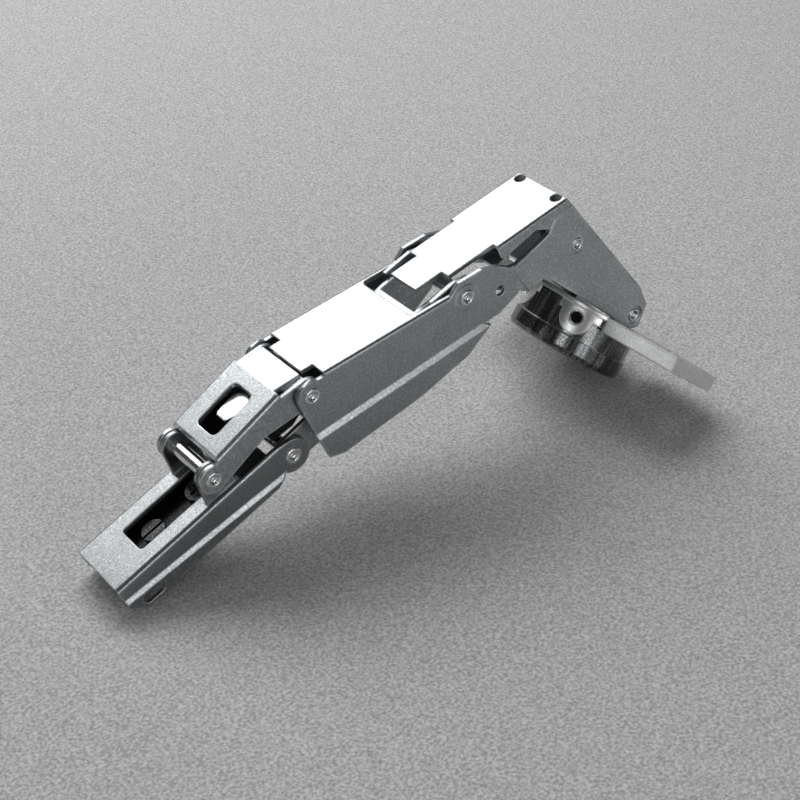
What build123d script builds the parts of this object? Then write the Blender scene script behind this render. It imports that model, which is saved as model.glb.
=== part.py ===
import os
from math import cos, hypot, radians, sin

from build123d import *

os.makedirs("parts", exist_ok=True)

# Driving dimensions, millimetres. X runs along the arm to the cup, Z is up, Y is the pin direction.
# The origin is on the underside of the arm's rear bridge, where it seats on a mounting plate.
sheet = 1.2
fit = 0.03
pin_r = 2.0
head_r = 2.35
head_t = 0.45
dimple_r = 1.2
dimple_depth = 0.9
side_gap = 0.3
washer_gap = 0.7
fold_r = 1.1
bend_r = 0.4

# Pivots as (x, z) in the photographed, fully open position.
arm_pivot = (30.0, 8.0)
link_pivot = (61.3, 8.8)
nose_pivot = (49.8, -4.5)
front_pivot = (109.7, -1.6)
ear_hole = (119.2, -8.2)
spring_pivot = (146.3, -16.9)
cup_pivot = (155.0, -54.7)

# Half widths to the outside of each member, stacked outwards from the arm, and each joggle's step.
arm_half = 10.0
arm_step = 0.7
channel_step = 0.8
front_step = 0.35
lever_half = arm_half - sheet - 0.4
link_half = arm_half + side_gap
arm_ear_half = link_half - sheet - 0.5
channel_half = link_half + washer_gap + sheet
front_half = channel_half - sheet - 0.8
bracket_half = front_half - sheet - 0.4
arm_low_half = arm_half + arm_step
channel_low_half = channel_half + channel_step
front_low_half = front_half + front_step

# Arm: top plate, slot and ears.
arm_rear = -5.0
arm_front = 44.4
slot_rear = 6.2
slot_front = 33.4
slot_half = 4.8
ear_r = 4.0

# Cup: middle of its mouth, angle of its axis above X, and its sizes.
cup_back = 7.8
cup_rise = 4.5
cup_x, cup_z = cup_pivot[0] - cup_back, cup_pivot[1] + cup_rise
cup_tilt = 27.0
cup_r = 17.5
cup_depth = 14.0
shell_wall = 0.9
tab_t = 0.57
boss_top = 8.6
flange_t = 1.2
flange_ring = 1.5
rim_depth = 3.2
base_r = 1.6
wing_half = 39.0
wing_rear = -4.0
wing_front = 20.0
notch_half = 12.2
screw_half = 27.0
screw_v = 7.5
screw_r = 2.1

axis_n = (cos(radians(cup_tilt)), 0, sin(radians(cup_tilt)))
axis_v = (sin(radians(cup_tilt)), 0, -cos(radians(cup_tilt)))
cup_plane = Plane(origin=(cup_x, 0, cup_z), x_dir=axis_v, z_dir=axis_n)
pin_v = (cup_pivot[0] - cup_x) * axis_v[0] + (cup_pivot[1] - cup_z) * axis_v[2]
pin_n = (cup_pivot[0] - cup_x) * axis_n[0] + (cup_pivot[1] - cup_z) * axis_n[2]
shell_r = cup_r - tab_t - fit


def side(y):
    """Sketch plane facing -Y at the given y; its x is X and its y is Z."""
    return Plane.XZ.offset(-y)


def slab(points, y0, y1, mode=Mode.ADD):
    """Flat side profile between two y values."""
    with BuildSketch(side(y1)) as sk:
        with BuildLine():
            Polyline(*points, close=True)
        make_face()
    extrude(sk.sketch, amount=y1 - y0, mode=mode)


def disc(centre, radius, y0, y1, mode=Mode.ADD):
    """Round side profile between two y values."""
    with BuildSketch(side(y1)) as sk:
        with Locations(centre):
            Circle(radius)
    extrude(sk.sketch, amount=y1 - y0, mode=mode)


def both(points, y0, y1, mode=Mode.ADD):
    """The same profile on the near and the far side."""
    slab(points, y0, y1, mode)
    slab(points, -y1, -y0, mode)


def both_discs(centre, radius, y0, y1, mode=Mode.ADD):
    """The same round profile on the near and the far side."""
    disc(centre, radius, y0, y1, mode)
    disc(centre, radius, -y1, -y0, mode)


def crease(start, end, face_y, step, drop):
    """Slope the top of an outset lower wall, so the sheet joggles outwards below the crease line."""
    run = (end[0] - start[0], 0, end[1] - start[1])
    for sign in (1, -1):
        across = Plane(origin=(start[0], sign * face_y, start[1]), x_dir=(0, sign, 0), z_dir=run)
        far = step + 0.4
        with BuildSketch(across) as sk:
            with BuildLine():
                Polyline((0, 0), (0, sign * 2), (far, sign * 2), (far, -sign * drop * far / step), close=True)
            make_face()
        extrude(sk.sketch, amount=hypot(run[0], run[2]), mode=Mode.SUBTRACT)


def long_edges(part, half, x, z, near=0.8):
    """The two fold edges of a channel at half width, through a point of the top line."""
    found = []
    for e in part.edges():
        c = e.center()
        if abs(abs(c.Y) - half) < 0.01 and abs(c.X - x) < near and abs(c.Z - z) < near:
            found.append(e)
    return found


def pin_solid(centre, half, proud):
    """Turned rivet: shaft, two low heads if it stands proud, and a punch mark in each end."""
    end = half + proud
    edge = [(head_r, end), (head_r, half), (pin_r, half)] if proud else [(pin_r, half)]
    upper = [(0, end - dimple_depth), (dimple_r, end)] + edge
    axis_plane = Plane(origin=(centre[0], 0, centre[1]), x_dir=(1, 0, 0), z_dir=(0, 0, 1))
    with BuildSketch(axis_plane) as sk:
        with BuildLine():
            Polyline(*upper, *[(r, -y) for r, y in reversed(upper)], close=True)
        make_face()
    revolve(sk.sketch, axis=Axis((centre[0], 0, centre[1]), (0, 1, 0)))


# Arm: channel with a long slot in the top, two raised ears and a rounded nose.
with BuildPart() as arm:
    inside = arm_half - sheet
    slab([(arm_rear, sheet), (46, sheet), (50.4, 0.4), (49.8, -7.2), (arm_rear, -3.4)], -arm_half, arm_half)
    fillet(long_edges(arm.part, arm_half, (arm_rear + 46) / 2, sheet), radius=fold_r)
    slab([(-6, 0), (60, 0), (60, -12), (-6, -12)], -inside, inside, Mode.SUBTRACT)
    slab([(arm_front, -1), (60, -1), (60, 3), (arm_front, 3)], -inside, inside, Mode.SUBTRACT)
    fillet(long_edges(arm.part, inside, (arm_rear + arm_front) / 2, 0), radius=bend_r)
    both([(arm_rear, -2.9), (46.5, -6.9), (42, -9.2), (arm_rear + 3.4, -9.2), (arm_rear, -5.2)],
         arm_low_half - sheet, arm_low_half)
    crease((arm_rear, -2.9), (46.5, -6.9), arm_half, arm_step, 1.3)
    both_discs(nose_pivot, 4.9, inside, arm_half)
    both_discs(nose_pivot, pin_r + fit, inside - 1, arm_half + 1, Mode.SUBTRACT)
    with BuildSketch(Plane.XY):
        with Locations(((slot_rear + slot_front) / 2, 0)):
            RectangleRounded(slot_front - slot_rear, 2 * slot_half, 1.2)
    extrude(amount=3, mode=Mode.SUBTRACT)
    for y1 in (arm_ear_half, -arm_ear_half + sheet):
        with BuildSketch(side(y1)):
            with Locations(arm_pivot):
                Circle(ear_r)
            with BuildLine():
                Polyline((25.2, 0.5), (34.8, 0.5), (arm_pivot[0] + ear_r, arm_pivot[1]),
                         (arm_pivot[0] - ear_r, arm_pivot[1]), close=True)
            make_face()
        extrude(amount=sheet)
    both_discs(arm_pivot, pin_r + fit, arm_ear_half - sheet - 1, arm_ear_half + 1, Mode.SUBTRACT)
    with BuildSketch(side(arm_low_half + 2)):
        with Locations((1.9, -6.9)):
            SlotOverall(6.4, 3.2)
    extrude(amount=2 * arm_low_half + 4, mode=Mode.SUBTRACT)
arm.part.label = "arm"
export_step(arm.part, "parts/arm.step")

# Adjusting plate: flat plate across the inside of the arm under the slot.
plate_top = -2.6
plate_t = 1.0
overlay_x, overlay_r = 27.0, 2.5
depth_x, depth_r = 12.0, 2.0
with BuildPart() as adjusting_plate:
    slab([(3, plate_top), (36, plate_top), (36, plate_top - plate_t), (3, plate_top - plate_t)],
         -arm_half + sheet, arm_half - sheet)
    with BuildSketch(Plane.XY.offset(plate_top - plate_t)):
        with Locations((overlay_x, 0)):
            Circle(overlay_r + fit)
        with Locations((depth_x, 0)):
            Circle(depth_r + fit)
    extrude(amount=plate_t, mode=Mode.SUBTRACT)
adjusting_plate.part.label = "adjusting_plate"
export_step(adjusting_plate.part, "parts/adjusting_plate.step")

# Overlay screw: cross-slotted cheese head over a short shank.
with BuildPart() as overlay_screw:
    with BuildSketch(Plane.XY.offset(plate_top - 1.8)):
        with Locations((overlay_x, 0)):
            Circle(overlay_r)
    extrude(amount=1.8)
    with BuildSketch(Plane.XY.offset(plate_top)):
        with Locations((overlay_x, 0)):
            Circle(overlay_r + 1.1)
    extrude(amount=2.0)
    with BuildSketch(Plane.XY.offset(plate_top + 1.0)):
        with Locations((overlay_x, 0)):
            Rectangle(4.6, 0.9)
            Rectangle(0.9, 4.6)
    extrude(amount=2, mode=Mode.SUBTRACT)
overlay_screw.part.label = "overlay_screw"
export_step(overlay_screw.part, "parts/overlay_screw.step")

# Depth screw: smaller slotted screw that clamps the arm to its plate.
with BuildPart() as depth_screw:
    with BuildSketch(Plane.XY.offset(plate_top - 1.8)):
        with Locations((depth_x, 0)):
            Circle(depth_r)
    extrude(amount=1.8)
    with BuildSketch(Plane.XY.offset(plate_top)):
        with Locations((depth_x, 0)):
            Circle(depth_r + 1.2)
    extrude(amount=1.6)
    with BuildSketch(Plane.XY.offset(plate_top + 0.8)):
        with Locations((depth_x, 0)):
            Rectangle(7, 0.9)
    extrude(amount=2, mode=Mode.SUBTRACT)
depth_screw.part.label = "depth_screw"
export_step(depth_screw.part, "parts/depth_screw.step")

# Window link: short channel with a window in its top and a bent-down tab between two notches.
with BuildPart() as window_link:
    inside = link_half - sheet
    slab([(33.5, 12.5), (54.6, 15.05), (62.5, 13.35), (62.5, 11.5), (61.3, 4.7), (56, 5.6), (46, 7.3),
          (36, 5.3), (30, 4.0)], -link_half, link_half)
    fillet(long_edges(window_link.part, link_half, 44.05, 13.8), radius=fold_r)
    both_discs(arm_pivot, ear_r, inside, link_half)
    both_discs(link_pivot, ear_r, inside, link_half)
    slab([(20, 9.65), (33.5, 11.28), (54.45, 13.83), (62.5, 12.12), (70, 12.12), (70, -4), (20, -4)],
         -inside, inside, Mode.SUBTRACT)
    both([(54.8, 18), (54.8, 13.6), (62, 12.7), (70, 12.7), (70, 18)], inside - 1.1, link_half + 1,
         Mode.SUBTRACT)
    with BuildSketch(Plane.XY.offset(10)):
        with Locations((43.8, 0)):
            RectangleRounded(13.8, 8.4, 1.8)
    extrude(amount=8, mode=Mode.SUBTRACT)
    both_discs(arm_pivot, pin_r + fit, inside - 1, link_half + 1, Mode.SUBTRACT)
    both_discs(link_pivot, pin_r + fit, inside - 1, link_half + 1, Mode.SUBTRACT)
window_link.part.label = "window_link"
export_step(window_link.part, "parts/window_link.step")

# Middle channel: long channel with front ears, its lower walls set outwards below a crease.
with BuildPart() as middle_channel:
    inside = channel_half - sheet
    low = channel_low_half - sheet
    slab([(63.6, 12.99), (106, 2.2), (109.5, 3.9), (116.8, 2.2), (121.5, -0.8), (124.6, -4.6), (125.8, -9.2),
          (123.6, -13.6), (116, -14.4), (112, -13.4), (56.8, -2.6), (57.2, 8.8), (60.5, 12.9)],
         -channel_half, channel_half)
    fillet(long_edges(middle_channel.part, channel_half, 84.8, 7.6), radius=fold_r)
    slab([(40, 30), (63.4, 30), (63.4, 11.8), (106, 0.96), (106, 30), (140, 30), (140, -40), (40, -40)],
         -inside, inside, Mode.SUBTRACT)
    both_discs(link_pivot, ear_r + 0.1, inside, channel_half)
    both([(56.8, -2.1), (110.5, -12.7), (112.5, -14.6), (107.8, -16.0), (102.9, -17.5), (85.7, -17.0),
          (61, -13.2), (56.8, -10.9)], low, channel_low_half)
    crease((56.8, -2.1), (112, -13.0), channel_half, channel_step, 1.7)
    both_discs(front_pivot, 3.7, channel_half - 0.2, channel_half + 0.35)
    with BuildSketch(Plane.XY.offset(-10)):
        with Locations((104.5, 0)):
            RectangleRounded(20, 2 * front_half + 1.0, 1.5)
    extrude(amount=30, mode=Mode.SUBTRACT)
    both([(57, 20), (66.9, 20), (66.9, 10), (63.2, 10), (63.2, 13.2), (57, 13.2)], 7.0, inside, Mode.SUBTRACT)
    both([(62.9, 20), (66.9, 20), (66.9, 11.0), (64.6, 11.6), (62.9, 13.2)], inside - 1, channel_half + 1,
         Mode.SUBTRACT)
    both_discs(link_pivot, pin_r + fit, inside - 1, channel_half + 1, Mode.SUBTRACT)
    both_discs(front_pivot, pin_r + fit, inside - 1, channel_half + 1, Mode.SUBTRACT)
    both_discs(ear_hole, 1.5, inside - 1, channel_half + 1, Mode.SUBTRACT)
middle_channel.part.label = "middle_channel"
export_step(middle_channel.part, "parts/middle_channel.step")

# Inner lever: two plates joined by a web, its front end an open hook round the front pin.
with BuildPart() as inner_lever:
    inside = lever_half - sheet
    slab([(49.8, 0.1), (98, 2.2), (111.4, 1.2), (113.6, -1.8), (109.9, -6.1), (49.8, -9.1)],
         -lever_half, lever_half)
    both_discs(nose_pivot, 4.6, inside, lever_half)
    slab([(58, -1), (97, 0.9), (97, 4), (130, 4), (130, -14), (58, -14)], -inside, inside, Mode.SUBTRACT)
    slab([(30, 6), (58, 6), (58, -14), (30, -14)], -inside, inside, Mode.SUBTRACT)
    both([(108.2, -4.2), (111.9, -1.9), (118, 7.2), (112.2, 11.0), (106.9, -0.2)], inside - 1,
         lever_half + 1, Mode.SUBTRACT)
    both_discs(front_pivot, pin_r + 0.7, inside - 1, lever_half + 1, Mode.SUBTRACT)
    both_discs(nose_pivot, pin_r + fit, inside - 1, lever_half + 1, Mode.SUBTRACT)
inner_lever.part.label = "inner_lever"
export_step(inner_lever.part, "parts/inner_lever.step")

# Front lever: box-like hook from the front pivot over to the cup, slotted below its fold.
with BuildPart() as front_lever:
    inside = front_half - sheet
    cx, cz = cup_pivot
    sx, sz = spring_pivot
    brow = [(sx + 2.2, sz + 15.3), (sx + 5.5, sz + 1.8)]
    leg = [(cx + 5, cz + 7.2), (cx + 5, cz), (cx, cz - 5), (cx - 4.5, cz - 2.3), (cx - 7, cz + 5.7),
           (sx - 4.8, sz - 17.2), (sx - 11.3, sz - 3.6), (sx - 13.1, sz - 0.9), (sx - 18.6, sz - 1.0)]
    slab([(100.8, 5.8)] + brow + leg + [(117, -7), (109.7, -6.6), (104.7, -1.6), (100.8, 3.4)],
         -front_half, front_half)
    fillet(long_edges(front_lever.part, front_half, (100.8 + sx + 2.2) / 2, (5.8 + sz + 15.3) / 2), radius=fold_r)
    slab([(90, 6.25), (sx + 1.1, sz + 14.25), (sx + 4.3, sz + 1.6), (cx + 2.3, cz + 12.7), (cx + 20, cz + 12.7),
          (cx + 20, cz - 20), (90, cz - 20)], -inside, inside, Mode.SUBTRACT)
    both([(125.4, -7.2), (139.6, -6.5), (sx - 3.7, sz + 12.7), (sx + 2.8, sz + 12.7)] + brow[1:] + leg,
         front_low_half - 1, front_low_half)
    both([(99, 9), (124.6, 9), (124.6, -2.4), (136.4, -2.4), (140.4, -5.6), (139.6, -6.5), (127, -7.0),
          (118.5, -2.5), (113.5, 1.6), (109.7, 3.2), (99, 3.4)], inside - 1.0, front_low_half + 1, Mode.SUBTRACT)
    both([(99, 9), (109.4, 9), (109.4, 3), (99, 3)], 5.2, inside, Mode.SUBTRACT)
    both([(127.9, -17.7), (133.0, -17.6), (133.0, -16.4), (127.9, -16.5)], 3.5, inside + 0.5)
    for pivot in (spring_pivot, cup_pivot):
        both_discs(pivot, pin_r + 0.7, front_low_half - 0.3, front_low_half + 1, Mode.SUBTRACT)
    for pivot in (front_pivot, spring_pivot, cup_pivot):
        both_discs(pivot, pin_r + fit, inside - 1, front_low_half + 1, Mode.SUBTRACT)
    with BuildSketch(Plane.XY.offset(-4)):
        with Locations((sx + 0.7, 7.2), (sx + 0.7, -7.2)):
            Circle(1.6)
    extrude(amount=8, mode=Mode.SUBTRACT)
front_lever.part.label = "front_lever"
export_step(front_lever.part, "parts/front_lever.step")

# Pins: riveted over on the outermost walls, or flush with the front lever's side.
with BuildPart() as arm_pin:
    pin_solid(arm_pivot, link_half, head_t)
arm_pin.part.label = "arm_pin"
export_step(arm_pin.part, "parts/arm_pin.step")

with BuildPart() as link_pin:
    pin_solid(link_pivot, channel_half, head_t)
link_pin.part.label = "link_pin"
export_step(link_pin.part, "parts/link_pin.step")

with BuildPart() as nose_pin:
    pin_solid(nose_pivot, arm_half, head_t)
nose_pin.part.label = "nose_pin"
export_step(nose_pin.part, "parts/nose_pin.step")

with BuildPart() as front_pin:
    pin_solid(front_pivot, channel_half + 0.35, head_t)
front_pin.part.label = "front_pin"
export_step(front_pin.part, "parts/front_pin.step")

with BuildPart() as spring_pin:
    pin_solid(spring_pivot, front_low_half, 0)
spring_pin.part.label = "spring_pin"
export_step(spring_pin.part, "parts/spring_pin.step")

with BuildPart() as cup_pin:
    pin_solid(cup_pivot, front_low_half, 0)
cup_pin.part.label = "cup_pin"
export_step(cup_pin.part, "parts/cup_pin.step")

# Spacer washers on the two pivots of the middle channel.
washer_r = 3.6
with BuildPart() as link_washers:
    both_discs(link_pivot, washer_r, link_half + 0.05, channel_half - sheet)
    both_discs(link_pivot, pin_r + fit, link_half - 1, channel_half, Mode.SUBTRACT)
link_washers.part.label = "link_washers"
export_step(link_washers.part, "parts/link_washers.step")

with BuildPart() as front_washers:
    both_discs(front_pivot, washer_r, front_half + 0.05, channel_half - sheet)
    both_discs(front_pivot, pin_r + fit, front_half - 1, channel_half, Mode.SUBTRACT)
front_washers.part.label = "front_washers"
export_step(front_washers.part, "parts/front_washers.step")

# Closing spring: coil round its pin with one leg down to the cup and one up to the top plate.
wire_r = 0.8
coil_r = 3.2
with BuildPart() as closing_spring:
    for i in range(4):
        with BuildSketch(side(-3.4 + 1.75 * i + wire_r)):
            with Locations(spring_pivot):
                Circle(coil_r + wire_r)
                Circle(coil_r - wire_r, mode=Mode.SUBTRACT)
        extrude(amount=2 * wire_r + 0.2)
    x0, z0 = spring_pivot
    slab([(x0 + 2.4, z0 - 0.5), (x0 + 4.0, z0 - 0.5), (x0 + 8.3, z0 - 29.2), (x0 + 6.7, z0 - 29.2)],
         -4.0, -2.6)
    slab([(x0 - 4.0, z0), (x0 - 2.4, z0), (x0 - 1.2, z0 + 13.4), (x0 - 2.8, z0 + 13.6)], 1.9, 3.3)
closing_spring.part.label = "closing_spring"
export_step(closing_spring.part, "parts/closing_spring.step")

# Curved tabs of the flange: place and sizes, shared with the holes behind them in the cup.
tab_angle = 35.0
tab_hole_depth = 3.2
tab_hole_r = 2.0
lobe_r = 4.8


def tab_face(sign):
    """Plane across the cup's radius through the middle of a tab; its y runs along the cup's axis."""
    angle = radians(tab_angle)
    radial = tuple(-axis_v[i] * cos(angle) + (0, sign, 0)[i] * sin(angle) for i in range(3))
    return Plane(origin=(cup_x, 0, cup_z), x_dir=Vector(*axis_n).cross(Vector(*radial)), z_dir=radial)


# Cup shell: drawn round cup let into the door, a little slimmer where the flange's tabs lie on it.
with BuildPart() as cup_shell:
    with BuildSketch(Plane(origin=(cup_x, 0, cup_z), x_dir=(0, 1, 0), z_dir=axis_v)):
        with BuildLine():
            Polyline((0, -cup_depth), (cup_r - base_r, -cup_depth),
                     (cup_r - 0.3 * base_r, -cup_depth + 0.3 * base_r), (cup_r, -cup_depth + base_r),
                     (cup_r, -boss_top), (shell_r, -boss_top), (shell_r, 0), (shell_r - shell_wall, 0),
                     (shell_r - shell_wall, -cup_depth + shell_wall), (0, -cup_depth + shell_wall), close=True)
        make_face()
    revolve(axis=Axis((cup_x, 0, cup_z), axis_n))
    for sign in (1, -1):
        with BuildSketch(tab_face(sign).offset(cup_r - 5)):
            with Locations((0, -tab_hole_depth)):
                Circle(tab_hole_r - 0.4)
        extrude(amount=10, mode=Mode.SUBTRACT)
cup_shell.part.label = "cup_shell"
export_step(cup_shell.part, "parts/cup_shell.step")


def tab_solid(sign):
    """Curved tab that hangs from the flange over the cup wall, with a round lobe and a hole."""
    face = tab_face(sign)
    with BuildPart() as tab:
        with BuildSketch(cup_plane.offset(flange_t / 2)):
            Circle(cup_r)
            Circle(shell_r + fit, mode=Mode.SUBTRACT)
        extrude(amount=-boss_top)
        with BuildSketch(face.offset(cup_r - 5)):
            with Locations((0, -tab_hole_depth)):
                Circle(lobe_r)
            with Locations((-sign * 1.0, 0)):
                Rectangle(14.0, 5.0)
        extrude(amount=10, mode=Mode.INTERSECT)
        with BuildSketch(face.offset(cup_r - 5)):
            with Locations((0, -tab_hole_depth)):
                Circle(tab_hole_r)
        extrude(amount=10, mode=Mode.SUBTRACT)
    return tab.part


def wing_points(sign, inset):
    """One wing of the flange in the cup's plane, from the ring outwards, with its outer corner cut off."""
    outer = wing_half - inset
    return [(inset - 10.0, sign * (cup_r - 2)), (wing_rear + inset, sign * outer),
            (wing_front - 3 - inset, sign * outer), (wing_front - inset, sign * (outer - 6)),
            (wing_front - inset, sign * (notch_half + inset)), (0, sign * (notch_half + inset))]


# Cup flange: pressed plate with two rimmed screw wings, open at the front for the lever's walls.
with BuildPart() as cup_flange:
    with BuildSketch(cup_plane):
        Circle(cup_r + flange_ring)
        for sign in (1, -1):
            with BuildLine():
                Polyline(*wing_points(sign, 0), close=True)
            make_face()
        Circle(shell_r - shell_wall, mode=Mode.SUBTRACT)
        with Locations((cup_r + 2, 0)):
            Rectangle(cup_r + 6, 2 * notch_half, mode=Mode.SUBTRACT)
        with Locations((screw_v, screw_half), (screw_v, -screw_half)):
            Circle(screw_r, mode=Mode.SUBTRACT)
    extrude(amount=flange_t)
    with BuildSketch(cup_plane):
        for sign in (1, -1):
            with BuildLine():
                Polyline(*wing_points(sign, 0), close=True)
            make_face()
            with BuildLine():
                Polyline(*wing_points(sign, flange_t), close=True)
            make_face(mode=Mode.SUBTRACT)
        Circle(cup_r + flange_ring, mode=Mode.SUBTRACT)
    extrude(amount=-rim_depth)
    add(tab_solid(-1))
    add(tab_solid(1))
cup_flange.part.label = "cup_flange"
export_step(cup_flange.part, "parts/cup_flange.step")

# Bearing bracket: two lugs on a base in the cup that carry the cup pin.
with BuildPart() as cup_bracket:
    lug_low = -cup_depth + shell_wall
    for y in (bracket_half, -bracket_half + sheet):
        plane = Plane(origin=(cup_x, y, cup_z), x_dir=axis_v, z_dir=(0, -1, 0))
        with BuildSketch(plane):
            with Locations((pin_v, pin_n)):
                Circle(4.0)
            with BuildLine():
                Polyline((0.5, lug_low), (12.4, lug_low), (pin_v + 3.9, pin_n), (pin_v - 3.9, pin_n),
                         close=True)
            make_face()
            with Locations((pin_v, pin_n)):
                Circle(pin_r + fit, mode=Mode.SUBTRACT)
        extrude(amount=sheet)
    with BuildSketch(cup_plane.offset(lug_low)):
        with Locations((6.45, 0)):
            Rectangle(11.9, 2 * bracket_half)
    extrude(amount=sheet)
cup_bracket.part.label = "cup_bracket"
export_step(cup_bracket.part, "parts/cup_bracket.step")
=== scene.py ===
from math import cos, pi, sin

import bpy
from mathutils import Matrix, Vector


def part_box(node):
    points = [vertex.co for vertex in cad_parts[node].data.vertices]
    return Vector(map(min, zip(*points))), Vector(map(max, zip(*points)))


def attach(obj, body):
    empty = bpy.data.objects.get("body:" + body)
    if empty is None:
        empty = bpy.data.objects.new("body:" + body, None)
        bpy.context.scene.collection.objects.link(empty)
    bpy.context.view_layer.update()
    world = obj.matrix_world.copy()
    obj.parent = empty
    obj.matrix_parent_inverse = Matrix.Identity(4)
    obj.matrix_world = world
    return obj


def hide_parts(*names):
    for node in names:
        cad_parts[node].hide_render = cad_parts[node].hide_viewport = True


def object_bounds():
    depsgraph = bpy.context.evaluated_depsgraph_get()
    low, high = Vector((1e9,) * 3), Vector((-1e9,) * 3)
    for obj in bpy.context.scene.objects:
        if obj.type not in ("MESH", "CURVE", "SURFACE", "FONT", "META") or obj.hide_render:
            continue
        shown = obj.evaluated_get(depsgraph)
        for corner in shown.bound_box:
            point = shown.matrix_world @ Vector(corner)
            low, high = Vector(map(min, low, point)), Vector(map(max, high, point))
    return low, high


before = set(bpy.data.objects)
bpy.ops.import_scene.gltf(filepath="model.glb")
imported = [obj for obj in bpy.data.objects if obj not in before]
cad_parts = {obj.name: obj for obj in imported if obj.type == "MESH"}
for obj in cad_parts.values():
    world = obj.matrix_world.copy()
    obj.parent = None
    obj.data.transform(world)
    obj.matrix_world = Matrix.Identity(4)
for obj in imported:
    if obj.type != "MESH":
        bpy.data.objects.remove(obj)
cad_low, cad_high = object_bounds()
scene = bpy.context.scene
scene.view_settings.view_transform = "Standard"

# Arm: a channel pressed from sheet steel and nickel plated, slotted along its top.
# Two ears stand on it for the first pin and its nose is rounded round the lever's pin.
# The plating has a fine speckled grain and soft blotches, and its edges carry a painted highlight.
mm = 0.001


def add_socket(tree, name, direction, kind, value=None):
    socket = tree.interface.new_socket(name=name, in_out=direction, socket_type=kind)
    if value is not None:
        socket.default_value = value


def math_node(tree, operation, first, second=None, third=None):
    """Math node fed by sockets or plain numbers; gives its output socket."""
    node = tree.nodes.new("ShaderNodeMath")
    node.operation = operation
    for place, value in enumerate((first, second, third)):
        if value is None:
            continue
        if isinstance(value, (int, float)):
            node.inputs[place].default_value = value
        else:
            tree.links.new(value, node.inputs[place])
    return node.outputs[0]


def mix_node(tree, kind, factor, low, high):
    """Mix of two sockets by a mask; kind is RGBA or FLOAT."""
    node = tree.nodes.new("ShaderNodeMix")
    node.data_type = kind
    first, second, result = (6, 7, 2) if kind == "RGBA" else (2, 3, 0)
    tree.links.new(factor, node.inputs[0])
    tree.links.new(low, node.inputs[first])
    tree.links.new(high, node.inputs[second])
    return node.outputs[result]


def noise_node(tree, place, scale, detail):
    node = tree.nodes.new("ShaderNodeTexNoise")
    node.inputs["Detail"].default_value = detail
    tree.links.new(place, node.inputs["Vector"])
    if isinstance(scale, (int, float)):
        node.inputs["Scale"].default_value = scale
    else:
        tree.links.new(scale, node.inputs["Scale"])
    return node.outputs["Fac"]


def spread(tree, value, low, high):
    """Stretch a value between two limits to the range from 0 to 1."""
    node = tree.nodes.new("ShaderNodeMapRange")
    node.inputs["From Min"].default_value = low
    node.inputs["From Max"].default_value = high
    tree.links.new(value, node.inputs["Value"])
    return node.outputs["Result"]


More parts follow.
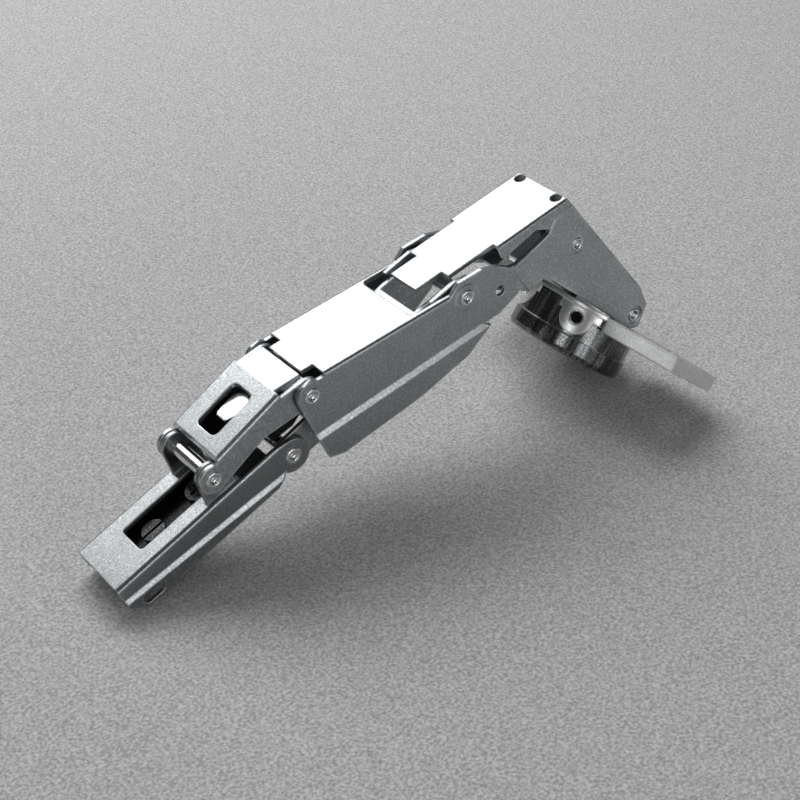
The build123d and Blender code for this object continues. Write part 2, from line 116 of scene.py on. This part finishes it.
def satin_grain_and_highlight_group():
    """Plated sheet by place on the part: speckle, blotches and a painted highlight on the edges."""
    tree = bpy.data.node_groups.new("satin_grain_and_highlight", "ShaderNodeTree")
    add_socket(tree, "Tone", "INPUT", "NodeSocketColor", (0.6, 0.6, 0.6, 1))
    add_socket(tree, "Dark Tone", "INPUT", "NodeSocketColor", (0.5, 0.5, 0.5, 1))
    add_socket(tree, "Highlight And Fleck Tone", "INPUT", "NodeSocketColor", (0.8, 0.8, 0.8, 1))
    add_socket(tree, "Grain Scale", "INPUT", "NodeSocketFloat", 2500.0)
    add_socket(tree, "Smooth", "INPUT", "NodeSocketFloat", 0.25)
    add_socket(tree, "Rough", "INPUT", "NodeSocketFloat", 0.4)
    add_socket(tree, "Edge Radius", "INPUT", "NodeSocketFloat", 0.3 * mm)
    add_socket(tree, "Color", "OUTPUT", "NodeSocketColor")
    add_socket(tree, "Roughness", "OUTPUT", "NodeSocketFloat")
    add_socket(tree, "Height", "OUTPUT", "NodeSocketFloat")
    add_socket(tree, "Soft Normal", "OUTPUT", "NodeSocketVector")
    given, result = tree.nodes.new("NodeGroupInput"), tree.nodes.new("NodeGroupOutput")
    place = tree.nodes.new("ShaderNodeTexCoord").outputs["Object"]
    blotch_scale, fleck_scale = 130.0, 2300.0
    speckle_share, cloud_share, fleck_share = 0.75, 0.25, 0.5
    edge_samples = 6
    edge_mask_reach, wear_roughness = 2.2, 0.25
    grain = noise_node(tree, place, given.outputs["Grain Scale"], 2.0)
    blotch = noise_node(tree, place, blotch_scale, 4.0)
    speckle = spread(tree, grain, 0.32, 0.68)
    cloud = math_node(tree, "MULTIPLY", spread(tree, blotch, 0.3, 0.7), cloud_share)
    mask = math_node(tree, "MULTIPLY_ADD", speckle, speckle_share, cloud)
    sparkle = spread(tree, noise_node(tree, place, fleck_scale, 1.0), 0.56, 0.68)
    fleck = math_node(tree, "MULTIPLY", sparkle, fleck_share)
    soft = tree.nodes.new("ShaderNodeBevel")
    soft.samples = edge_samples
    tree.links.new(given.outputs["Edge Radius"], soft.inputs["Radius"])
    wide = tree.nodes.new("ShaderNodeBevel")
    wide.samples = edge_samples
    edge_mask_radius = math_node(tree, "MULTIPLY", given.outputs["Edge Radius"], edge_mask_reach)
    tree.links.new(edge_mask_radius, wide.inputs["Radius"])
    flat = tree.nodes.new("ShaderNodeNewGeometry")
    facing = tree.nodes.new("ShaderNodeVectorMath")
    facing.operation = "DOT_PRODUCT"
    tree.links.new(wide.outputs["Normal"], facing.inputs[0])
    tree.links.new(flat.outputs["Normal"], facing.inputs[1])
    near_edge = spread(tree, facing.outputs["Value"], 0.99, 0.85)
    # Painted highlight: near the edges the tone is mixed toward the lighter highlight tone.
    painted_edge_highlight = math_node(tree, "MULTIPLY", near_edge, spread(tree, blotch, 0.35, 0.6))
    sheet_tone = mix_node(tree, "RGBA", mask, given.outputs["Dark Tone"], given.outputs["Tone"])
    # The painted edge highlight and the random light flecks both take the highlight-and-fleck tone.
    bright = math_node(tree, "MAXIMUM", painted_edge_highlight, fleck)
    tone = mix_node(tree, "RGBA", bright, sheet_tone, given.outputs["Highlight And Fleck Tone"])
    tree.links.new(tone, result.inputs["Color"])
    sheen = mix_node(tree, "FLOAT", mask, given.outputs["Rough"], given.outputs["Smooth"])
    worn = math_node(tree, "MULTIPLY_ADD", near_edge, wear_roughness, sheen)
    tree.links.new(worn, result.inputs["Roughness"])
    tree.links.new(grain, result.inputs["Height"])
    tree.links.new(soft.outputs["Normal"], result.inputs["Soft Normal"])
    return tree


satin_grain_and_highlight = satin_grain_and_highlight_group()


def plated(name, tone, dark_tone, highlight_and_fleck_tone, smooth, rough,
           grain_scale=2500.0, grain_depth=0.012 * mm, edge_radius=0.3 * mm):
    """Plated steel: the grain group, with its painted edge highlight, into a metal shader, with edges
    softened to catch light.
    """
    material = bpy.data.materials.new(name)
    material.use_nodes = True
    nodes, links = material.node_tree.nodes, material.node_tree.links
    shader = nodes["Principled BSDF"]
    shader.inputs["Metallic"].default_value = 1.0
    grain = nodes.new("ShaderNodeGroup")
    grain.node_tree = satin_grain_and_highlight
    grain.inputs["Tone"].default_value = (*tone, 1)
    grain.inputs["Dark Tone"].default_value = (*dark_tone, 1)
    grain.inputs["Highlight And Fleck Tone"].default_value = (*highlight_and_fleck_tone, 1)
    grain.inputs["Grain Scale"].default_value = grain_scale
    grain.inputs["Smooth"].default_value = smooth
    grain.inputs["Rough"].default_value = rough
    grain.inputs["Edge Radius"].default_value = edge_radius
    links.new(grain.outputs["Color"], shader.inputs["Base Color"])
    links.new(grain.outputs["Roughness"], shader.inputs["Roughness"])
    bump = nodes.new("ShaderNodeBump")
    bump.inputs["Strength"].default_value = 1.0
    bump.inputs["Distance"].default_value = grain_depth
    links.new(grain.outputs["Height"], bump.inputs["Height"])
    links.new(grain.outputs["Soft Normal"], bump.inputs["Normal"])
    links.new(bump.outputs["Normal"], shader.inputs["Normal"])
    return material


def finish_node(node, material):
    """The CAD node keeps its shape and takes this finish."""
    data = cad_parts[node].data
    data.materials.clear()
    data.materials.append(material)


sheet_grain = 1900.0
sheet_edge = 0.55 * mm
arm_sheet = plated("arm_sheet", (0.37, 0.39, 0.4), (0.23, 0.243, 0.25), (0.66, 0.67, 0.67),
                   smooth=0.28, rough=0.34, grain_scale=sheet_grain, edge_radius=sheet_edge)
finish_node("arm", arm_sheet)

# Adjusting plate and its two screws deep in the slot of the arm, painted near black as painted shade of the
# slot.
# The larger, cross-slotted screw sets the overlay and the slotted one clamps the depth.
dark_steel = plated("painted_shade_steel", (0.05, 0.05, 0.055), (0.02, 0.02, 0.022), (0.14, 0.14, 0.14),
                    smooth=0.3, rough=0.5)
shade_dark_screw = plated("painted_shade_screw", (0.05, 0.05, 0.053), (0.022, 0.022, 0.024), (0.3, 0.3, 0.3),
                     smooth=0.25, rough=0.42)
finish_node("adjusting_plate", dark_steel)
finish_node("overlay_screw", shade_dark_screw)
finish_node("depth_screw", shade_dark_screw)

# Window link: a short pressed channel with a rounded window, hung between two pins.
# Its front tab is bent down between two notches, under the edge of the middle channel.
satin_sheet = plated("satin_nickel_sheet", (0.51, 0.54, 0.555), (0.3, 0.322, 0.332), (0.86, 0.87, 0.87),
                     smooth=0.28, rough=0.34, grain_scale=sheet_grain, edge_radius=sheet_edge)
finish_node("window_link", satin_sheet)

# Control lever: bright pressed lever that shows through the link's window, over a near-black web that is
# painted shade inside the link.
# It hangs inside the link, so it turns with it.


def add_piece(name, corners, faces, material, body, slot):
    """Mesh piece in row metres that rides on a body; the slot argument is not used."""
    mesh = bpy.data.meshes.new(name)
    mesh.from_pydata(corners, [], faces)
    mesh.materials.append(material)
    piece = bpy.data.objects.new(name, mesh)
    scene.collection.objects.link(piece)
    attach(piece, body)
    return piece


def bent_plate(side_line, half_widths, thickness):
    """Corners and faces of a sheet along a side line of (x, z) points, with a half width at each."""
    corners, faces = [], []
    for (x, z), half in zip(side_line, half_widths):
        for y, drop in ((-half, 0), (half, 0), (half, thickness), (-half, thickness)):
            corners.append((x * mm, y * mm, (z - drop) * mm))
    for i in range(len(side_line) - 1):
        a, b = 4 * i, 4 * (i + 1)
        for k in range(4):
            m = (k + 1) % 4
            faces.append((a + k, a + m, b + m, b + k))
    last = 4 * (len(side_line) - 1)
    faces += [(3, 2, 1, 0), (last, last + 1, last + 2, last + 3)]
    return corners, faces


bright_lever = plated("bright_lever", (0.66, 0.67, 0.67), (0.5, 0.51, 0.51), (0.9, 0.9, 0.9),
                      smooth=0.16, rough=0.26)
lever_line = [(41.8, 12.45), (42.5, 12.55), (51.0, 11.95), (55.0, 11.4)]
lever_halves = [1.7, 2.3, 4.3, 5.2]
lever_form = bent_plate(lever_line, lever_halves, thickness=0.8)
add_piece("control_lever", *lever_form, bright_lever, "window_body", "plated_sheet")
# Painted shade: a near-black web under the lever fills the dark inside of the link.
web_line = [(36.4, 6.9), (46.0, 8.6), (55.0, 7.2)]
web_halves = [8.7, 8.7, 8.7]
web_form = bent_plate(web_line, web_halves, thickness=0.5)
add_piece("control_web_painted_shade", *web_form, dark_steel, "window_body", "dark_steel")

# Control cams: two near-black plates under the front of the link that fill the gap above the inner lever
# with painted shade.
# Their shape is a guess from the dark outline in the gap; they hang in the link and turn with it.
cam_line = [(46.5, 8.4), (58.0, 9.4), (57.8, 1.6), (54.5, 0.2), (48.0, 0.8)]
cam_inside, cam_outside = 5.4, 6.6
count = len(cam_line)
corners, faces = [], []
for side in (-1, 1):
    inner = len(corners)
    outer = inner + count
    for y in (cam_inside, cam_outside):
        corners += [(x * mm, side * y * mm, z * mm) for x, z in cam_line]
    faces += [tuple(range(inner, outer)), tuple(range(outer + count - 1, outer - 1, -1))]
    for k in range(count):
        after = (k + 1) % count
        faces.append((inner + k, outer + k, outer + after, inner + after))
add_piece("control_cams_painted_shade", corners, faces, dark_steel, "window_body", "dark_steel")

# Middle channel: the long pressed channel, its walls joggled outwards below a crease.
# Inner lever: a plain pressed lever that runs under it from the arm's nose.
finish_node("middle_channel", satin_sheet)
finish_node("inner_lever", satin_sheet)

# Front lever: the hooked box that carries the cup, slotted below the fold of its top.
# It is pressed from the same sheet as the channel, with its lower walls set out a little.
finish_node("front_lever", satin_sheet)


# Pins and washers: turned rivets with punched ends, closed over the outermost walls.
# Fine turning rings run round each pin's own axis, so each has its own copy of the finish.
def turned_rings_group():
    """Height of fine turning marks round an axis along Y through a given point."""
    tree = bpy.data.node_groups.new("turned_rings", "ShaderNodeTree")
    add_socket(tree, "Axis Point", "INPUT", "NodeSocketVector", (0, 0, 0))
    add_socket(tree, "Height", "OUTPUT", "NodeSocketFloat")
    given, result = tree.nodes.new("NodeGroupInput"), tree.nodes.new("NodeGroupOutput")
    place = tree.nodes.new("ShaderNodeTexCoord").outputs["Object"]
    away = tree.nodes.new("ShaderNodeVectorMath")
    away.operation = "SUBTRACT"
    tree.links.new(place, away.inputs[0])
    tree.links.new(given.outputs["Axis Point"], away.inputs[1])
    across = tree.nodes.new("ShaderNodeVectorMath")
    across.operation = "MULTIPLY"
    across.inputs[1].default_value = (1, 0, 1)
    tree.links.new(away.outputs["Vector"], across.inputs[0])
    radius = tree.nodes.new("ShaderNodeVectorMath")
    radius.operation = "LENGTH"
    tree.links.new(across.outputs["Vector"], radius.inputs[0])
    ring_pitch = 0.22 * mm
    turns = math_node(tree, "MULTIPLY", radius.outputs["Value"], 2 * pi / ring_pitch)
    tree.links.new(math_node(tree, "SINE", turns), result.inputs["Height"])
    return tree


turned_rings = turned_rings_group()


def turned_finish(node, material_name):
    """Plated finish with turning rings laid under its grain, centred on the node's box."""
    ring_strength, ring_depth = 0.35, 0.01 * mm
    material = plated(material_name, (0.8, 0.81, 0.82), (0.64, 0.65, 0.66), (0.95, 0.95, 0.95),
                      smooth=0.16, rough=0.28)
    nodes, links = material.node_tree.nodes, material.node_tree.links
    low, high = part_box(node)
    rings = nodes.new("ShaderNodeGroup")
    rings.node_tree = turned_rings
    rings.inputs["Axis Point"].default_value = (Vector(low) + Vector(high)) / 2
    marks = nodes.new("ShaderNodeBump")
    marks.inputs["Strength"].default_value = ring_strength
    marks.inputs["Distance"].default_value = ring_depth
    grain_bump = nodes["Bump"]
    links.new(rings.outputs["Height"], marks.inputs["Height"])
    links.new(grain_bump.outputs["Normal"], marks.inputs["Normal"])
    links.new(marks.outputs["Normal"], nodes["Principled BSDF"].inputs["Normal"])
    return material


def rivet(node, body):
    """Turned pin with rolled, rounded ends and a punched hollow, as long and wide as its CAD node."""
    low, high = Vector(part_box(node)[0]), Vector(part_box(node)[1])
    centre = (low + high) / 2
    end = (high.y - low.y) / 2
    rim_r = (high.x - low.x) / 2
    shaft_r, hollow_r = 2.0 * mm, 1.1 * mm
    head_t, head_fillet, plain_end = 0.45 * mm, 0.05 * mm, 0.6 * mm
    roll_r, roll_height, roll_steps = (rim_r - hollow_r) / 2, 0.38 * mm, 8
    hollow = [(0, 0.85 * mm), (0.7 * mm, 0.78 * mm), (1.0 * mm, 0.55 * mm)]
    profile = [(r, end - depth) for r, depth in hollow]
    for step in range(roll_steps + 1):
        angle = pi - pi * step / roll_steps
        profile.append((rim_r - roll_r + roll_r * cos(angle), end - roll_height + roll_height * sin(angle)))
    if rim_r > shaft_r + 0.1 * mm:
        under_head = end - head_t
        profile += [(rim_r, under_head), (shaft_r, under_head), (shaft_r, under_head - head_fillet)]
    else:
        profile.append((rim_r, end - plain_end))
    profile += [(r, -y) for r, y in reversed(profile)]
    around = 40
    corners, faces = [], []
    for r, y in profile:
        for k in range(around):
            angle = 2 * pi * k / around
            corners.append((centre.x + r * cos(angle), centre.y + y, centre.z + r * sin(angle)))
    for i in range(len(profile) - 1):
        ring, following = i * around, (i + 1) * around
        for k in range(around):
            after = (k + 1) % around
            faces.append((ring + k, ring + after, following + after, following + k))
    finish = turned_finish(node, "turned_" + node)
    piece = add_piece(node + "_rivet", corners, faces, finish, body, "pin_steel")
    piece.data.polygons.foreach_set("use_smooth", [True] * len(faces))
    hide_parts(node)


rivet("arm_pin", "window_body")
rivet("link_pin", "middle_body")
rivet("nose_pin", "arm_body")
rivet("front_pin", "middle_body")
rivet("spring_pin", "front_body")
rivet("cup_pin", "front_body")
for washers in ("link_washers", "front_washers"):
    finish_node(washers, turned_finish(washers, "turned_" + washers))

# Closing spring: dark spring wire wound round its pin inside the front lever.
# One leg runs down to the cup's bracket and the other bears on the lever's top plate.
spring_x, spring_z = 146.3 * mm, -16.9 * mm
coil_r = 3.2 * mm
wire_r = 0.7 * mm
coil_near, coil_far = -3.4 * mm, 2.5 * mm
coil_turns = 3.25
coil_steps = 52
upper_leg_y = coil_far + 0.1 * mm
lower_leg = [(7.3, -28.3), (5.4, -14.0), (3.6, -2.4)]
upper_leg = [(-1.8, 3.5), (-2.9, 5.0), (-2.6, 9.0), (-2.1, 12.7)]
wire_points = [(spring_x + x * mm, coil_near, spring_z + z * mm) for x, z in lower_leg]
for step in range(coil_steps + 1):
    angle = 2 * pi * coil_turns * step / coil_steps
    coil_y = coil_near + (coil_far - coil_near) * step / coil_steps
    wire_points.append((spring_x + coil_r * cos(angle), coil_y, spring_z + coil_r * sin(angle)))
wire_points += [(spring_x + x * mm, upper_leg_y, spring_z + z * mm) for x, z in upper_leg]
wire = bpy.data.curves.new("spring_wire", "CURVE")
wire.dimensions = "3D"
wire.bevel_depth = wire_r
wire.bevel_resolution = 4
wire.use_fill_caps = True
run = wire.splines.new("NURBS")
run.points.add(len(wire_points) - 1)
for point, place in zip(run.points, wire_points):
    point.co = (*place, 1)
run.order_u = 3
run.use_endpoint_u = True
run.resolution_u = 4
spring = bpy.data.objects.new("spring_wire", wire)
scene.collection.objects.link(spring)
spring_steel = plated("dark_spring_wire", (0.16, 0.16, 0.165), (0.08, 0.08, 0.085), (0.3, 0.3, 0.3),
                      smooth=0.2, rough=0.38)
wire.materials.append(spring_steel)
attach(spring, "front_body")
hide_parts("closing_spring")


# Cup: a drawn, bright-plated cup let into the door, painted dark for the shade it lies in, with two curved
# tabs of the flange on it.
# The flange is pressed with two rimmed screw wings, and a small bracket in the cup holds its pin.
def drawn_streaks_group():
    """Streaks left by drawing the cup: noise stretched along the axis, gone on the flat base."""
    tree = bpy.data.node_groups.new("drawn_streaks", "ShaderNodeTree")
    add_socket(tree, "Axis", "INPUT", "NodeSocketVector", (0, 0, 1))
    add_socket(tree, "Mask", "OUTPUT", "NodeSocketFloat")
    given, result = tree.nodes.new("NodeGroupInput"), tree.nodes.new("NodeGroupOutput")
    squeeze, streak_scale = 0.94, 900.0
    base_scale, base_swing, base_floor = 1400.0, 0.3, 0.4
    coords = tree.nodes.new("ShaderNodeTexCoord")
    place = coords.outputs["Object"]
    height = tree.nodes.new("ShaderNodeVectorMath")
    height.operation = "DOT_PRODUCT"
    tree.links.new(place, height.inputs[0])
    tree.links.new(given.outputs["Axis"], height.inputs[1])
    drop = tree.nodes.new("ShaderNodeVectorMath")
    drop.operation = "SCALE"
    tree.links.new(given.outputs["Axis"], drop.inputs[0])
    tree.links.new(math_node(tree, "MULTIPLY", height.outputs["Value"], squeeze), drop.inputs["Scale"])
    squeezed = tree.nodes.new("ShaderNodeVectorMath")
    squeezed.operation = "SUBTRACT"
    tree.links.new(place, squeezed.inputs[0])
    tree.links.new(drop.outputs["Vector"], squeezed.inputs[1])
    streak = noise_node(tree, squeezed.outputs["Vector"], streak_scale, 3.0)
    across = tree.nodes.new("ShaderNodeVectorMath")
    across.operation = "DOT_PRODUCT"
    tree.links.new(coords.outputs["Normal"], across.inputs[0])
    tree.links.new(given.outputs["Axis"], across.inputs[1])
    on_base = spread(tree, math_node(tree, "ABSOLUTE", across.outputs["Value"]), 0.4, 0.9)
    base_grain = noise_node(tree, place, base_scale, 2.0)
    base_mask = math_node(tree, "MULTIPLY_ADD", base_grain, base_swing, base_floor)
    mask = mix_node(tree, "FLOAT", on_base, spread(tree, streak, 0.35, 0.65), base_mask)
    tree.links.new(mask, result.inputs["Mask"])
    return tree


cup_axis = (0.891, 0, 0.454)
streak_strength = 0.75
# Painted shade: the cup shell's tone is set dark for the shade the cup lies in.
shaded_cup_steel = plated("drawn_cup_painted_shade", (0.26, 0.27, 0.275), (0.16, 0.165, 0.17), (0.8, 0.8, 0.8),
                   smooth=0.16, rough=0.3, grain_depth=0.005 * mm)
nodes, links = shaded_cup_steel.node_tree.nodes, shaded_cup_steel.node_tree.links
streaks = nodes.new("ShaderNodeGroup")
streaks.node_tree = drawn_streaks_group()
streaks.inputs["Axis"].default_value = cup_axis
streaky = nodes.new("ShaderNodeMix")
streaky.data_type = "RGBA"
streaky.blend_type = "MULTIPLY"
streaky.inputs[0].default_value = streak_strength
grain_and_highlight_color = nodes["Principled BSDF"].inputs["Base Color"].links[0].from_socket
links.new(grain_and_highlight_color, streaky.inputs[6])
links.new(streaks.outputs["Mask"], streaky.inputs[7])
links.new(streaky.outputs[2], nodes["Principled BSDF"].inputs["Base Color"])
flange_plate = plated("flange_nickel", (0.72, 0.73, 0.73), (0.58, 0.59, 0.59), (0.95, 0.95, 0.95),
                      smooth=0.27, rough=0.33, edge_radius=sheet_edge)
finish_node("cup_shell", shaded_cup_steel)
finish_node("cup_flange", flange_plate)
finish_node("cup_bracket", satin_sheet)

# Table: the plane that the folded-out hinge lies on, through the arm's rear and the cup's edge.
# It is found from the solids' lower outline, is pale grey, and shows from above only.
outline = sorted({(round(p.x, 6), round(p.z, 6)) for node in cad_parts.values()
                  for p in (node.matrix_world @ v.co for v in node.data.vertices)})
lower = []
for x, z in outline:
    while len(lower) > 1 and ((lower[-1][0] - lower[-2][0]) * (z - lower[-2][1])
                              - (lower[-1][1] - lower[-2][1]) * (x - lower[-2][0])) <= 0:
        lower.pop()
    lower.append((x, z))
middle_x = (cad_low[0] + cad_high[0]) / 2
rear, front = next((a, b) for a, b in zip(lower, lower[1:]) if a[0] <= middle_x <= b[0])
along = Vector((front[0] - rear[0], 0, front[1] - rear[1])).normalized()
table_up = Vector((-along.z, 0, along.x))
table_half = 1.6
table_gap = 0.2 * mm
touching = Vector(((rear[0] + front[0]) / 2, 0, (rear[1] + front[1]) / 2))
table_middle = touching - table_up * table_gap
corners = [table_middle + along * sx * table_half + Vector((0, sy * table_half, 0))
           for sx, sy in ((-1, -1), (1, -1), (1, 1), (-1, 1))]
table_mesh = bpy.data.meshes.new("table")
table_mesh.from_pydata(corners, [], [(0, 1, 2, 3)])
table = bpy.data.objects.new("table", table_mesh)
scene.collection.objects.link(table)
table_dark, table_light = (0.42, 0.42, 0.42, 1), (0.88, 0.88, 0.88, 1)
fleck_scale = 1300.0
table_look = bpy.data.materials.new("pale_table")
table_look.use_nodes = True
nodes, links = table_look.node_tree.nodes, table_look.node_tree.links
shader = nodes["Principled BSDF"]
shader.inputs["Roughness"].default_value = 0.8
table_place = nodes.new("ShaderNodeTexCoord").outputs["Object"]
fleck = noise_node(table_look.node_tree, table_place, fleck_scale, 2.0)
tint = nodes.new("ShaderNodeMix")
tint.data_type = "RGBA"
tint.inputs[6].default_value = table_dark
tint.inputs[7].default_value = table_light
links.new(spread(table_look.node_tree, fleck, 0.3, 0.7), tint.inputs[0])
links.new(tint.outputs[2], shader.inputs["Base Color"])
under = nodes.new("ShaderNodeNewGeometry")
clear = nodes.new("ShaderNodeBsdfTransparent")
either = nodes.new("ShaderNodeMixShader")
links.new(under.outputs["Backfacing"], either.inputs["Fac"])
links.new(shader.outputs["BSDF"], either.inputs[1])
links.new(clear.outputs["BSDF"], either.inputs[2])
links.new(either.outputs["Shader"], nodes["Material Output"].inputs["Surface"])
table.data.materials.append(table_look)

# Studio light: a broad softbox over the far side that the top plates mirror, a small fill above,
# a low panel on the near side that the creases mirror, a small light for the cup's tab,
# and a dim grey room.
object_middle = Vector((0.08, 0, -0.015))


def softbox(name, direction, distance, width, height, radiance):
    """Rectangular lamp that faces the object's middle; radiance is its brightness to the eye."""
    lamp = bpy.data.lights.new(name, "AREA")
    lamp.shape = "RECTANGLE"
    lamp.size = width
    lamp.size_y = height
    lamp.energy = radiance * pi * width * height
    holder = bpy.data.objects.new(name, lamp)
    holder.location = object_middle + Vector(direction).normalized() * distance
    holder.rotation_euler = (object_middle - holder.location).to_track_quat("-Z", "Y").to_euler()
    scene.collection.objects.link(holder)


softbox("far_softbox", (0.44, 0.653, 0.616), distance=1.0, width=1.15, height=0.6, radiance=3.4)
softbox("top_fill", (-0.43, 0.12, 0.9), distance=1.0, width=0.28, height=0.28, radiance=1.4)
softbox("near_panel", (0.1, -0.965, 0.2), distance=1.2, width=0.95, height=0.42, radiance=2.4)
softbox("tab_light", (-0.42, -0.53, 0.74), distance=1.0, width=0.2, height=0.2, radiance=4.5)
room = bpy.data.worlds.new("grey_room")
room.use_nodes = True
room.node_tree.nodes["Background"].inputs["Color"].default_value = (0.06, 0.06, 0.062, 1)
room.node_tree.nodes["Background"].inputs["Strength"].default_value = 1.0
scene.world = room

# Camera: at the photograph's angle, with a long lens, above the near side of the arm.
# Its place and axes were fitted to the pivots and corners seen in the photograph.
camera_place = Vector((-0.01567, -0.30131, 0.29887))
camera_data = bpy.data.cameras.new("camera")
camera_data.sensor_width = 36
camera_data.lens = 76.5
camera = bpy.data.objects.new("camera", camera_data)
right = Vector((0.722, -0.6045, -0.337)).normalized()
forward = Vector((0.221, 0.663, -0.716))
forward = (forward - right * forward.dot(right)).normalized()
up = right.cross(forward)
camera.matrix_world = Matrix((
    (right.x, up.x, -forward.x, camera_place.x),
    (right.y, up.y, -forward.y, camera_place.y),
    (right.z, up.z, -forward.z, camera_place.z),
    (0, 0, 0, 1)))
scene.collection.objects.link(camera)
scene.camera = camera
